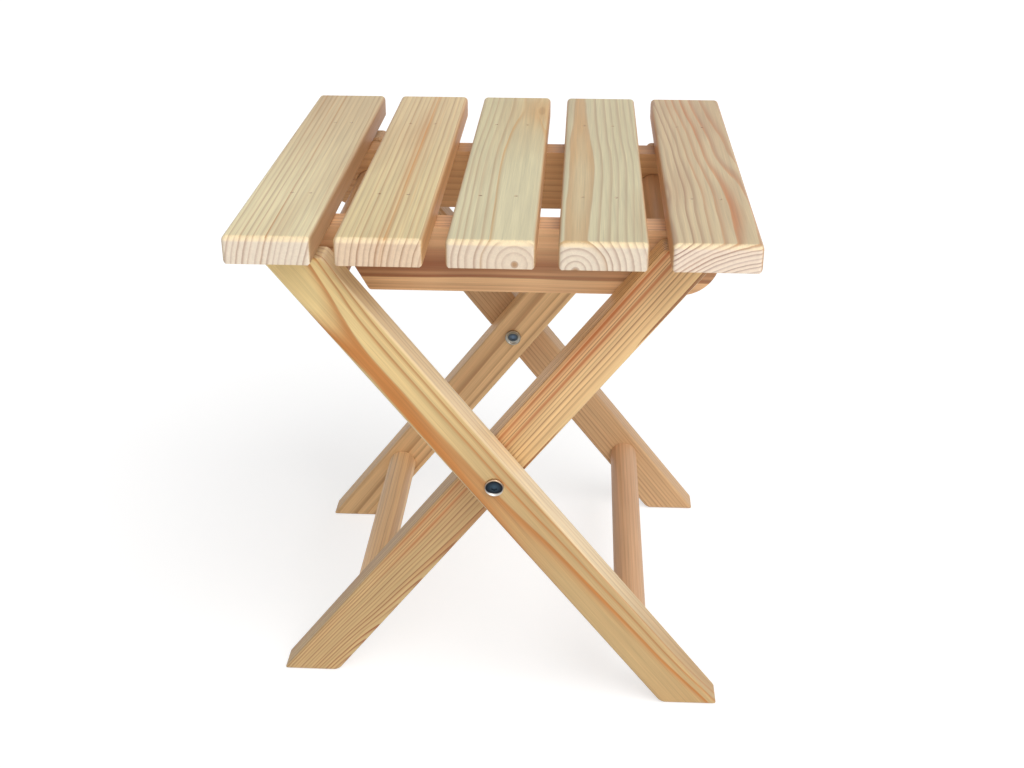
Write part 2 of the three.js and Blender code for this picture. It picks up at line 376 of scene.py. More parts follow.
def notch_cutter(low, high):
    """The notch's outline, a round top over two straight sides, drawn out along Y."""
    below = low.z - overrun
    near_y = low.y - overrun
    centre = Vector((rest.x, near_y, rest.z))
    select_only(None)
    bpy.ops.mesh.primitive_circle_add(
        vertices=arc_sides, radius=hole_radius, location=centre, rotation=(math.pi / 2, 0, 0)
    )
    cutter = settle("notch_cutter")

    def under_the_sides(vertex):
        offset = vertex.co - centre
        angle = math.atan2(offset.z, offset.x)
        return not notch_flare - angle_slack < angle < math.pi - angle_slack

    pick(cutter, "VERT", under_the_sides)
    bpy.ops.mesh.delete(type="VERT")
    bpy.ops.object.mode_set(mode="OBJECT")
    arc = sorted(cutter.data.vertices, key=lambda vertex: vertex.co.x)
    left, right = arc[0].index, arc[-1].index
    flare_start = centre + hole_radius * Vector((math.cos(notch_flare), 0, math.sin(notch_flare)))
    flare_end = flare_start.x + (flare_start.z - below) * math.tan(notch_flare)
    plumb_x = rest.x - hole_radius
    ends = {
        left: [Vector((plumb_x, near_y, rest.z)), Vector((plumb_x, near_y, below))],
        right: [flare_start, Vector((flare_end, near_y, below))],
    }
    for index, places in ends.items():
        for place in places:
            move = place - cutter.data.vertices[index].co
            pick(cutter, "VERT", lambda vertex: vertex.index == index)
            draw_out(*move)
            bpy.ops.object.mode_set(mode="OBJECT")
            index = len(cutter.data.vertices) - 1
    bpy.ops.object.mode_set(mode="EDIT")
    bpy.ops.mesh.select_all(action="SELECT")
    bpy.ops.mesh.edge_face_add()
    draw_out(0, high.y - low.y + 2 * overrun, 0)
    bpy.ops.mesh.select_all(action="SELECT")
    bpy.ops.mesh.normals_make_consistent(inside=False)
    bpy.ops.object.mode_set(mode="OBJECT")
    return cutter


def make_rail(name):
    low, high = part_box(name)
    rail = block(name + "_board", low, high)
    for end in (low.x, high.x):
        round_edges(rail, at(x=end, z=low.z), rail_corner, corner_steps)
    cut(rail, pin("drill", hinge.x, hinge.z, hole_radius, low.y - overrun, high.y + overrun, arc_sides))
    cut(rail, notch_cutter(low, high))
    lip_x = max(
        vertex.co.x
        for vertex in rail.data.vertices
        if near(vertex.co.z, low.z) and vertex.co.x < rest.x + rail_corner * 2
    )
    lips = round_edges(rail, at(x=lip_x, z=low.z), notch_lip, lip_steps, math.pi / 2 + notch_flare)
    ease(rail, rail_ease, rail_ease_steps, rail_sharpest)
    drilled = drill_for_brads(rail, (low, high))
    smooth(rail)
    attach(rail, "seat")
    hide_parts(name)
    print(name, "has", drilled, "brad holes,", lips, "rounded lip and", len(rail.data.polygons), "faces")
    return rail


rails = [make_rail(name) for name in rail_names]

# %% [markdown]
# ## Legs
# A leg is a straight board that is cut level at both ends, so that it stands flat. It is made as
# a long block, turned to its lean, cut off at the floor and under the seat. The heel of the foot
# is rounded, and one bevel eases all the other edges. The inner legs' hidden tips are rounded
# about the rod, so that the seat can swing past them. Two blind sockets take the rods and a
# bore takes the bolt.

# %% Legs
leg_width = 40 * millimetre
leg_ease, leg_ease_steps = 3 * millimetre, 4
heel_radius, heel_steps = 9 * millimetre, 6
tip_clearance = 0.7 * millimetre
tenon_radius = 10 * millimetre
tenon_length = 20 * millimetre
seated_gap = 0.3 * millimetre
sleeve_radius = 4.5 * millimetre


def trim_level(piece, height, keep_above):
    """Cuts a piece off level at a height and closes the cut."""
    select_only(piece)
    bpy.ops.object.mode_set(mode="EDIT")
    bpy.ops.mesh.select_all(action="SELECT")
    bpy.ops.mesh.bisect(
        plane_co=(0, 0, height),
        plane_no=(0, 0, 1),
        use_fill=True,
        clear_inner=keep_above,
        clear_outer=not keep_above,
    )
    bpy.ops.object.mode_set(mode="OBJECT")


def tip_cutter(side, low, high, slat_bottom):
    """What lies outside the arc about the top rod, near the leg's tip."""
    centre = Vector((side * hinge.x, 0, hinge.z))
    swing = slat_bottom - hinge.z - tip_clearance
    reach = leg_width * 2
    corners = sorted([centre.x + side * swing / 4, centre.x + side * reach])
    cutter = block(
        "tip_cutter",
        (corners[0], low.y - overrun, centre.z - swing),
        (corners[1], high.y + overrun, centre.z + reach),
    )
    drum = (low.y - 2 * overrun, high.y + 2 * overrun)
    cut(cutter, pin("swing", centre.x, centre.z, swing, *drum, arc_sides * 2))
    return cutter


def make_leg(name, side, body):
    """side is 1 for a leg that rises to the right and -1 for one that rises to the left."""
    low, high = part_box(name)
    slat_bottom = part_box(slat_names[0])[0].z
    long_enough = high.z * 2
    half_size = Vector((leg_width / 2, 0, long_enough / 2))
    leg = block(
        name + "_board",
        Vector((pivot.x, low.y, pivot.z)) - half_size,
        Vector((pivot.x, high.y, pivot.z)) + half_size,
        side * (math.pi / 2 - lean),
    )
    trim_level(leg, low.z, True)
    trim_level(leg, high.z, False)

    foot_x = -side * pivot.z / math.tan(lean)
    heel_x = foot_x + side * leg_width / 2 / math.sin(lean)
    round_edges(leg, at(x=heel_x, z=low.z), heel_radius, heel_steps, math.pi - lean)
    ease(leg, leg_ease, leg_ease_steps, crease_angle)
    flat = [vertex.co.z for vertex in leg.data.vertices if near(vertex.co.y, low.y)]
    print(name, "eased by", round((min(flat) - low.z) / millimetre, 2), "mm at the foot")
    if body == "inner_frame":
        cut(leg, tip_cutter(side, low, high, slat_bottom))

    front = middle(name).y < 0
    inner_face, inwards = (high.y, 1) if front else (low.y, -1)
    socket_floor = inner_face - inwards * (tenon_length + seated_gap)
    socket_ends = sorted([inner_face + inwards * overrun, socket_floor])
    lower_rod = middle(body.replace("frame", "lower_rod"))
    for x, z in ((side * hinge.x, hinge.z), (lower_rod.x, lower_rod.z)):
        cut(leg, pin("drill", x, z, tenon_radius + seated_gap, *socket_ends, arc_sides))
    bore = (low.y - overrun, high.y + overrun)
    cut(leg, pin("drill", pivot.x, pivot.z, sleeve_radius + seated_gap, *bore, arc_sides // 2))
    smooth(leg)
    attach(leg, body)
    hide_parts(name)
    print(name, "has", len(leg.data.polygons), "faces")
    return leg


legs = {}
for layer, side in (("inner", 1), ("outer", -1)):
    for end in ("front", "rear"):
        name = f"{layer}_leg_{end}"
        legs[name] = make_leg(name, side, layer + "_frame")

# %% [markdown]
# ## Rods
# The rods are turned bars. Each end is stepped down to a tenon that sits in the leg. The end
# face is inset to the tenon's radius and extruded, which leaves a square shoulder.

# %% Rods
rod_sides = 72
shoulder_ease, shoulder_steps = 0.5 * millimetre, 2
turned_sharpest = math.radians(60)


def make_rod(name, body):
    low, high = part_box(name)
    place = middle(name)
    shoulders = (low.y + tenon_length, high.y - tenon_length)
    rod = pin(name + "_turned", place.x, place.z, rod_radius, *shoulders, rod_sides)
    for outwards in (-1, 1):
        pick(rod, "FACE", lambda face: face.normal.y * outwards > square_on_share)
        bpy.ops.mesh.inset(thickness=rod_radius - tenon_radius)
        draw_out(0, outwards * tenon_length, 0)
        bpy.ops.object.mode_set(mode="OBJECT")
    ease(rod, shoulder_ease, shoulder_steps, turned_sharpest)
    smooth(rod)
    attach(rod, body)
    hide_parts(name)
    print(name, "is", round(size(name).y / millimetre, 1), "mm long")
    return rod


rod_bodies = {
    "seat_hinge_rod": "inner_frame", "inner_lower_rod": "inner_frame",
    "seat_rest_rod": "outer_frame", "outer_lower_rod": "outer_frame",
}
rods = [make_rod(name, body) for name, body in rod_bodies.items()]

# %% [markdown]
# ## Pivot hardware
# A furniture bolt holds each crossing. Its wide flat head lies on the outer leg, and it screws
# into a sleeve nut whose head lies inside the inner leg. Both heads have a rounded rim, a
# shallow dish, and a six-sided socket for a key.

# %% Bolts, sleeve nuts and washers
head_radius = size("pivot_bolt_front").x / 2
head_thickness = 2.6 * millimetre
head_rim, rim_steps = 0.8 * millimetre, 5
dish_radius = 7 * millimetre
dish_floor_radius = 5.4 * millimetre
dish_depth = 1.1 * millimetre
key_radius, key_sides = 2.9 * millimetre, 6
key_depth = 2 * millimetre
bolt_radius = 3 * millimetre
washer_ease, washer_steps = 0.2 * millimetre, 2
head_sides = 64


def make_head(name, face_y, outwards):
    """A flat head whose outer face is at face_y, dished, with a socket for a key."""
    back_y = face_y - outwards * head_thickness
    head = pin(name, pivot.x, pivot.z, head_radius, *sorted([face_y, back_y]), head_sides)
    for thickness, depth in ((head_radius - dish_radius, 0), (dish_radius - dish_floor_radius, dish_depth)):
        faces = [face for face in head.data.polygons if face.normal.y * outwards > square_on_share]
        innermost = max(faces, key=lambda face: len(face.vertices)).index
        pick(head, "FACE", lambda face: face.index == innermost)
        bpy.ops.mesh.inset(thickness=thickness)
        if depth:
            bpy.ops.transform.translate(value=(0, -outwards * depth, 0))
        bpy.ops.object.mode_set(mode="OBJECT")

    def on_the_rim(point):
        from_axis = math.hypot(point.x - pivot.x, point.z - pivot.z)
        return near(point.y, face_y) and near(from_axis, head_radius)

    round_edges(head, on_the_rim, head_rim, rim_steps)
    key_ends = sorted([face_y + outwards * overrun, face_y - outwards * key_depth])
    cut(head, pin("key", pivot.x, pivot.z, key_radius, *key_ends, key_sides))
    return head


def extend_back(head, back_y, outwards, radius, length):
    """Draws a shank out of the middle of the head's back."""

    def on_the_back(face):
        return near(face.center.y, back_y) and face.normal.y * outwards < -square_on_share

    pick(head, "FACE", on_the_back)
    bpy.ops.mesh.inset(thickness=head_radius - radius)
    draw_out(0, -outwards * length, 0)
    bpy.ops.object.mode_set(mode="OBJECT")


def make_bolt(name, side):
    low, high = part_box(name)
    face_y = high.y if side > 0 else low.y
    bolt = make_head(name + "_turned", face_y, side)
    shank = high.y - low.y - head_thickness
    extend_back(bolt, face_y - side * head_thickness, side, bolt_radius, shank)
    return bolt


def make_sleeve_nut(name, side):
    """The nut's head faces inwards, and its sleeve is bored for the bolt from the far end."""
    low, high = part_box(name)
    face_y = low.y if side > 0 else high.y
    nut = make_head(name + "_turned", face_y, -side)
    sleeve = high.y - low.y - head_thickness
    extend_back(nut, face_y + side * head_thickness, -side, sleeve_radius, sleeve)
    mouth = high.y if side > 0 else low.y
    bore = sorted([mouth + side * overrun, face_y + side * (head_thickness + key_depth)])
    cut(nut, pin("bore", pivot.x, pivot.z, bolt_radius + seated_gap, *bore, head_sides // 2))
    return nut


def make_washer(name, side):
    low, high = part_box(name)
    washer = pin(name + "_ring", pivot.x, pivot.z, size(name).x / 2, low.y, high.y, head_sides)
    bore = (low.y - overrun, high.y + overrun)
    cut(washer, pin("bore", pivot.x, pivot.z, sleeve_radius + seated_gap, *bore, head_sides // 2))
    ease(washer, washer_ease, washer_steps, turned_sharpest)
    return washer


makers = {"bolt": make_bolt, "sleeve_nut": make_sleeve_nut, "washer": make_washer}
hardware = {}
for side, end in ((-1, "front"), (1, "rear")):
    for kind, make in makers.items():
        name = f"pivot_{kind}_{end}"
        hardware[name] = make(name, side)
for name, piece in hardware.items():
    smooth(piece)
    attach(piece, "inner_frame")
    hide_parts(name)
print(len(hardware), "pieces of hardware, heads", round(2 * head_radius / millimetre, 1), "mm wide")

# %% [markdown]
# ## Pine
# Wood is a solid material, so its pattern is worked out in three dimensions. Each board has its
# own pith, the line at the middle of the tree. The distance from it, divided by the width of a
# year's growth, counts the rings. Every ring goes from pale early wood to dark late wood and
# then starts again sharply. The same rule draws the arcs on the sawn ends and the lines along
# the faces, so they meet at the edges as on the real boards.


# %% Node helpers
def fill(tree, socket, value):
    """Links a socket to another one, or sets its own value."""
    if isinstance(value, bpy.types.NodeSocket):
        tree.links.new(value, socket)
    else:
        socket.default_value = value


def fresh_nodes(owner):
    """The empty node tree of a material or a world."""
    owner.use_nodes = True
    owner.node_tree.nodes.clear()
    return owner.node_tree


def put(tree, kind, sockets=None, **settings):
    """Adds a node, sets it up, and links or fills its sockets."""
    made = tree.nodes.new(kind)
    for name, value in settings.items():
        setattr(made, name, value)
    for socket, value in (sockets or {}).items():
        fill(tree, made.inputs[socket], value)
    return made


def show(tree, shader, kind="ShaderNodeOutputMaterial"):
    """Sends a shader to the output of its material or world."""
    put(tree, kind, {"Surface": shader.outputs[0]})


def maths(tree, operation, *values, clamp=False):
    made = put(tree, "ShaderNodeMath", dict(enumerate(values)), operation=operation, use_clamp=clamp)
    return made.outputs[0]


def vectors(tree, operation, *values):
    made = put(tree, "ShaderNodeVectorMath", dict(enumerate(values)), operation=operation)
    return made.outputs["Value" if operation == "LENGTH" else "Vector"]


def parts(tree, vector):
    """The x, y and z of a vector."""
    return put(tree, "ShaderNodeSeparateXYZ", {0: vector}).outputs


def own_frame(tree, vector, **sockets):
    """Takes a point or a normal from the shared frame to a piece's own."""
    sockets["Vector"] = vector
    return put(tree, "ShaderNodeMapping", sockets, vector_type="TEXTURE").outputs[0]


def less(tree, value, mask, share, clamp=False):
    """Takes a share of a value away where a mask is one."""
    kept = maths(tree, "MULTIPLY_ADD", mask, -share, 1.0)
    return maths(tree, "MULTIPLY", value, kept, clamp=clamp)


def noise(tree, vector, scale, detail=2.0, roughness=0.5):
    sockets = {"Vector": vector, "Scale": scale, "Detail": detail, "Roughness": roughness}
    return put(tree, "ShaderNodeTexNoise", sockets).outputs


def noise_along(tree, value, detail):
    """Noise that changes with one value only."""
    sockets = {"W": value, "Scale": 1.0, "Detail": detail}
    return put(tree, "ShaderNodeTexNoise", sockets, noise_dimensions="1D").outputs[0]


def grain(tree, spot, squeeze_share, *look):
    """Noise whose spots are long along the board. The look is a scale, a detail and a roughness."""
    return noise(tree, vectors(tree, "MULTIPLY", spot, (1, squeeze_share, 1)), *look)


def bell(tree, distance):
    """Falls smoothly from one at no distance to almost nothing at two."""
    square = maths(tree, "MULTIPLY", distance, distance)
    return maths(tree, "EXPONENT", maths(tree, "MULTIPLY", square, -1.0))


def blend_colours(tree, factor, first, second, mode="MIX"):
    sockets = {"Factor": factor, 6: first, 7: second}
    return put(tree, "ShaderNodeMix", sockets, data_type="RGBA", blend_type=mode).outputs[2]


def ramp(tree, value, stops):
    """A grey ramp from pairs of place and brightness."""
    made = put(tree, "ShaderNodeValToRGB", {0: value})
    while len(made.color_ramp.elements) < len(stops):
        made.color_ramp.elements.new(0.5)
    for element, (place, level) in zip(made.color_ramp.elements, stops):
        element.position = place
        element.color = (level, level, level, 1)
    return made.outputs[0]


def spread(tree, value, lowest, highest, smoothly=False):
    """Takes a value between two limits to a share from 0 to 1."""
    sockets = {"Value": value, "From Min": lowest, "From Max": highest}
    kind = "SMOOTHSTEP" if smoothly else "LINEAR"
    return put(tree, "ShaderNodeMapRange", sockets, interpolation_type=kind).outputs[0]


def new_group(name, inputs, outputs):
    """A node group with sockets named in two dictionaries, of Float, Vector or Color."""
    tree = bpy.data.node_groups.new(name, "ShaderNodeTree")
    for in_out, sockets in (("INPUT", inputs), ("OUTPUT", outputs)):
        for socket, kind in sockets.items():
            tree.interface.new_socket(socket, in_out=in_out, socket_type="NodeSocket" + kind)
    return tree, tree.nodes.new("NodeGroupInput").outputs, tree.nodes.new("NodeGroupOutput").inputs


def srgb(red, green, blue):
    """A colour in screen values from 0 to 255, turned to linear light."""
    linear = [((c / 255 + 0.055) / 1.055) ** 2.4 for c in (red, green, blue)]
    return (*linear, 1)


# %% [markdown]
# ## How far from the pith
# The first node group measures the radius in the tree. The tree is never quite round, so noise
# that is stretched along the grain moves each point a little. A knot, where a branch left the
# trunk, pushes the rings aside as they pass it.


# %% The group for rings
knot_shape_shares = (1, 0.22, 0.4)
halo_per_metre = (42, 15, 26)
slow_grain = (0.16, 16)
quick_grain = (0.1, 120)
quick_sway = 1 * millimetre
rings_seed_steps = (1.7, 2.3, 3.1)
middle_grey = (0.5, 0.5, 0.5)


def make_rings_group():
    tree, given, out = new_group(
        "Pine rings",
        {
            "Spot": "Vector", "Pith": "Vector", "Seed": "Float", "Wander": "Float",
            "Knot": "Vector", "Lift": "Float",
        },
        {"Radius": "Float", "Halo": "Float", "Knot distance": "Float"},
    )
    apart = vectors(tree, "ADD", given["Spot"], vectors(tree, "MULTIPLY", given["Seed"], rings_seed_steps))
    slow = vectors(tree, "SUBTRACT", grain(tree, apart, *slow_grain)["Color"], middle_grey)
    slow = vectors(tree, "MULTIPLY", slow, given["Wander"])
    quick = vectors(tree, "SUBTRACT", grain(tree, apart, *quick_grain)["Color"], middle_grey)
    quick = vectors(tree, "MULTIPLY", quick, (quick_sway,) * 3)
    moved = vectors(tree, "ADD", vectors(tree, "SUBTRACT", given["Spot"], given["Pith"]), slow)
    moved = vectors(tree, "MULTIPLY", vectors(tree, "ADD", moved, quick), (1, 0, 1))
    radius = vectors(tree, "LENGTH", moved)

    to_knot = vectors(tree, "SUBTRACT", given["Spot"], given["Knot"])
    knot_distance = vectors(tree, "LENGTH", vectors(tree, "MULTIPLY", to_knot, knot_shape_shares))
    wide = vectors(tree, "LENGTH", vectors(tree, "MULTIPLY", to_knot, halo_per_metre))
    halo = bell(tree, wide)
    tree.links.new(maths(tree, "MULTIPLY_ADD", halo, given["Lift"], radius), out["Radius"])
    tree.links.new(halo, out["Halo"])
    tree.links.new(knot_distance, out["Knot distance"])
    return tree


rings_group = make_rings_group()
print("rings group has", len(rings_group.nodes), "nodes")

# %% [markdown]
# ## The colour of pine
# The second group turns the radius into colour. Each year's dark line has its own strength.
# Sawn ends are paler with stronger lines. The colour on the board's narrow edges is painted light:
# painted shade on the slats' sides between them, a painted highlight on a front leg's lit side.
# A painted highlight runs along the rounded top edges of the slats' ends, and towards one end the
# wood may turn to a low colour, which is painted light as well. Fine fibres run along the grain and also
# drive the roughness and the bump.


# %% The group for colours
knot_heart = 2.4 * millimetre
knot_rim = 4 * millimetre
pith_heart = 1.2 * millimetre
pith_rim = 3.2 * millimetre
calm_width = 3 * millimetre
heart_colour = srgb(176, 126, 74)
colours_seed_steps = (1.3, 1.9, 2.9)

# How dark the wood is at each share of one year's growth, and how unlike the years are
year_shares = [(0, 0.6), (0.05, 0), (0.45, 0.02), (0.66, 0.3), (0.82, 0.85), (0.93, 1), (1, 0.75)]
year_pace_share, year_sway_share = 0.6, 0.5
weakest_line_share = 0.38

# Between which shares of its normal a surface turns into an end, an edge or a rim
end_normal_shares = (0.6, 0.85)
edge_normal_shares = (0.45, 0.95)
rim_highlight_normal_shares = (0.1, 0.4)

# Fine noise along the grain, and how much each thing shows
fibre_grain = (0.012, 1500, 2.0, 0.6)
fleck_grain = (0.02, 330, 2.0, 0.6)
band_grain = (0.14, 38, 1.0)
fibre_share, fleck_share = 0.4, 0.42
warm_gain, patchy_gain = 1.1, 1.6
end_calm_share, edge_calm_share = 0.7, 0.55
streak_lost_on_ends_share, fleck_lost_on_ends_share = 0.6, 0.5
halo_share, knot_heart_share, pith_heart_share = 0.8, 0.45, 0.8

# Late wood is a little glossier and stands a little proud, and sawn ends are dull
early_roughness, late_gloss, fibre_roughness, end_roughness = 0.54, 0.1, 0.2, 0.16
late_height_share, fibre_height_share = 0.35, 0.5


def make_colours_group():
    tree, given, out = new_group(
        "Pine colours",
        {
            "Spot": "Vector", "Face": "Vector", "Radius": "Float", "Seed": "Float",
            "Rings per metre": "Float", "Ring start": "Float", "Strength": "Float", "End strength": "Float",
            "Calm radius": "Float", "Painted light from": "Float", "Painted light to": "Float",
            "Early": "Color", "Low": "Color", "Late": "Color", "End early": "Color", "End late": "Color",
            "Edge": "Color", "Edge share": "Float", "Rim": "Color", "Rim share": "Float",
            "Streak": "Color", "Streak level": "Float",
            "Halo": "Float", "Knot distance": "Float",
        },
        {"Color": "Color", "Roughness": "Float", "Height": "Float"},
    )
    apart = vectors(tree, "MULTIPLY", given["Seed"], colours_seed_steps)
    apart = vectors(tree, "ADD", given["Spot"], apart)
    count = maths(tree, "MULTIPLY_ADD", given["Radius"], given["Rings per metre"], given["Ring start"])
    years = maths(tree, "MULTIPLY_ADD", count, year_pace_share, given["Seed"])
    years = noise_along(tree, years, detail=0.0)
    years = maths(tree, "MULTIPLY_ADD", years, year_sway_share, -year_sway_share / 2)
    count = maths(tree, "ADD", years, count)
    within = maths(tree, "FRACT", count)
    chance = {"W": maths(tree, "ADD", maths(tree, "FLOOR", count), given["Seed"])}
    chance = put(tree, "ShaderNodeTexWhiteNoise", chance, noise_dimensions="1D").outputs["Value"]
    profile = ramp(tree, within, year_shares)

    # Which way the surface looks: an end, an edge or a broad face
    turned = parts(tree, vectors(tree, "ABSOLUTE", given["Face"]))
    end = spread(tree, turned[1], *end_normal_shares)
    # The edge colour on the narrow sides is painted light: painted shade on the slats' sides between them,
    # and a painted highlight on the lit side of a front leg.
    edge = maths(tree, "MULTIPLY", spread(tree, turned[0], *edge_normal_shares), given["Edge share"])
    # The rim colour is a painted highlight along the rounded top edges of the sawn ends.
    rim = spread(tree, maths(tree, "MULTIPLY", turned[1], turned[2]), *rim_highlight_normal_shares)
    rim = maths(tree, "MULTIPLY", rim, given["Rim share"])

    strength = {"Factor": end, 2: given["Strength"], 3: given["End strength"]}
    strength = put(tree, "ShaderNodeMix", strength).outputs[0]
    chance = maths(tree, "MULTIPLY_ADD", chance, 1 - weakest_line_share, weakest_line_share)
    late = maths(tree, "MULTIPLY", profile, chance)
    calm = maths(tree, "SUBTRACT", given["Calm radius"], calm_width)
    calm = spread(tree, given["Radius"], calm, given["Calm radius"])
    calm = maths(tree, "MAXIMUM", calm, maths(tree, "MULTIPLY", end, end_calm_share))
    calm = less(tree, calm, edge, edge_calm_share)
    late = maths(tree, "MULTIPLY", late, maths(tree, "MULTIPLY", calm, strength), clamp=True)

    fibres = maths(tree, "SUBTRACT", grain(tree, apart, *fibre_grain)[0], 0.5)
    flecks = maths(tree, "SUBTRACT", grain(tree, apart, *fleck_grain)[0], 0.5)
    bands = maths(tree, "SUBTRACT", grain(tree, apart, *band_grain)[0], 0.5)

    # Painted light along the board: towards one end the early wood turns to the low colour. This is a
    # painted highlight at the slats' front ends and painted shade at the front legs' feet.
    along = parts(tree, given["Spot"])[1]
    drift = spread(tree, along, given["Painted light from"], given["Painted light to"], smoothly=True)
    early = blend_colours(tree, drift, given["Low"], given["Early"])
    warm = maths(tree, "MULTIPLY", bands, warm_gain, clamp=True)
    early = blend_colours(tree, warm, early, given["Late"])
    early = blend_colours(tree, edge, early, given["Edge"])
    early = blend_colours(tree, end, early, given["End early"])
    early = blend_colours(tree, rim, early, given["Rim"])
    dark = blend_colours(tree, end, given["Late"], given["End late"])
    colour = blend_colours(tree, late, early, dark)

    # Streaks of richer colour fade in and out along the board
    patchy = maths(tree, "MULTIPLY_ADD", bands, patchy_gain, 1.0)
    streak = maths(tree, "MULTIPLY", given["Streak level"], patchy)
    streak = less(tree, streak, end, streak_lost_on_ends_share, clamp=True)
    halo = maths(tree, "MULTIPLY", given["Halo"], halo_share)
    colour = blend_colours(tree, maths(tree, "MAXIMUM", streak, halo), colour, given["Streak"])

    # The heart of a knot, and the tree's own pith where a board holds it
    heart = spread(tree, given["Knot distance"], knot_rim, knot_heart)
    pith = spread(tree, given["Radius"], pith_rim, pith_heart)
    heart = maths(tree, "MULTIPLY", heart, knot_heart_share)
    heart = maths(tree, "MAXIMUM", heart, maths(tree, "MULTIPLY", pith, pith_heart_share))
    colour = blend_colours(tree, heart, colour, heart_colour)

    fleck = maths(tree, "MULTIPLY_ADD", flecks, fleck_share, maths(tree, "MULTIPLY", fibres, fibre_share))
    light = maths(tree, "ADD", less(tree, fleck, end, fleck_lost_on_ends_share), 1.0)
    light = put(tree, "ShaderNodeCombineXYZ", {0: light, 1: light, 2: light}).outputs[0]
    colour = blend_colours(tree, 1.0, colour, light, "MULTIPLY")

    dullness = maths(tree, "MULTIPLY_ADD", late, -late_gloss, early_roughness)
    dullness = maths(tree, "MULTIPLY_ADD", fibres, fibre_roughness, dullness)
    dullness = maths(tree, "MULTIPLY_ADD", end, end_roughness, dullness)
    height = maths(tree, "MULTIPLY", fibres, fibre_height_share)
    height = maths(tree, "MULTIPLY_ADD", late, late_height_share, height)
    tree.links.new(colour, out["Color"])
    tree.links.new(dullness, out["Roughness"])
    tree.links.new(height, out["Height"])
    return tree


colours_group = make_colours_group()
print("colours group has", len(colours_group.nodes), "nodes")

# %% [markdown]
# ## One material for each board
# A Mapping node of the Texture kind takes a point to the board's own frame: X across it, Y along
# the grain and Z through it. The pith runs beside or inside the board on a path that is given by
# a few points, and a Vector Curves node draws it as a smooth line. Where it sways or dives, the
# lines on the faces do too. A streak is a band of orange wood, soft towards the pith and sharp
# away from it, at a given radius.


# %% Board material
grain_relief = 0.15 * millimetre
grain_bump_share = 0.3
varnish_ior, varnish_weight, varnish_roughness = 1.45, 0.1, 0.3
no_knot = (1, 1, 1)
plain_wood = {"knot": no_knot, "lift": 0, "end_strength": 0.85, "calm": 0, "edge_share": 0, "rim_share": 0}
same_sockets = (
    "Seed", "Strength", "End strength", "Early", "Low", "Late", "End early", "End late", "Edge",
    "Rim", "Rim share", "Streak",
)


def board_frame(along, through):
    """The turn that takes Y to the board's length and Z to its thickness."""
    along, through = Vector(along).normalized(), Vector(through).normalized()
    return Matrix((along.cross(through), along, through)).transposed()


def pith_path(tree, along, points):
    """The pith's place across and through the board, from points of (along, across, through)."""
    reach = max(abs(value) for point in points for value in point)
    share = maths(tree, "DIVIDE", along, reach)
    curves = put(tree, "ShaderNodeVectorCurve", {"Vector": share})
    for axis, part in ((0, 1), (2, 2)):
        curve = curves.mapping.curves[axis]
        places = [(point[0] / reach, point[part] / reach) for point in points]
        while len(curve.points) < len(places):
            curve.points.new(0, 0)
        for spot, place in zip(curve.points, places):
            spot.location = place
    curves.mapping.update()
    return vectors(tree, "MULTIPLY", curves.outputs[0], (reach, 0, reach))


streak_shape_shares = ((-1.0, 0.0), (-0.5, 0.4), (-0.15, 1.0), (0.0, 0.9), (0.1, 0.0))


def streak_height(place, streak):
    """One streak's level at a radius. A streak is (sharp radius, width, level)."""
    sharp, width, level = streak
    share = (place - sharp) / width
    for (start, low), (end, high) in zip(streak_shape_shares, streak_shape_shares[1:]):
        if start <= share <= end:
            return level * (low + (high - low) * (share - start) / (end - start))
    return 0


def streak_level(tree, radius, streaks):
    """The strongest streak at a radius, drawn as a ramp."""
    shape = [share for share, _ in streak_shape_shares]
    places = sorted(sharp + share * width for sharp, width, _ in streaks for share in shape)
    lowest, highest = places[0], places[-1]
    stops = []
    for place in places:
        strongest = max(streak_height(place, streak) for streak in streaks)
        stops.append(((place - lowest) / (highest - lowest), strongest))
    return ramp(tree, spread(tree, radius, lowest, highest), stops)


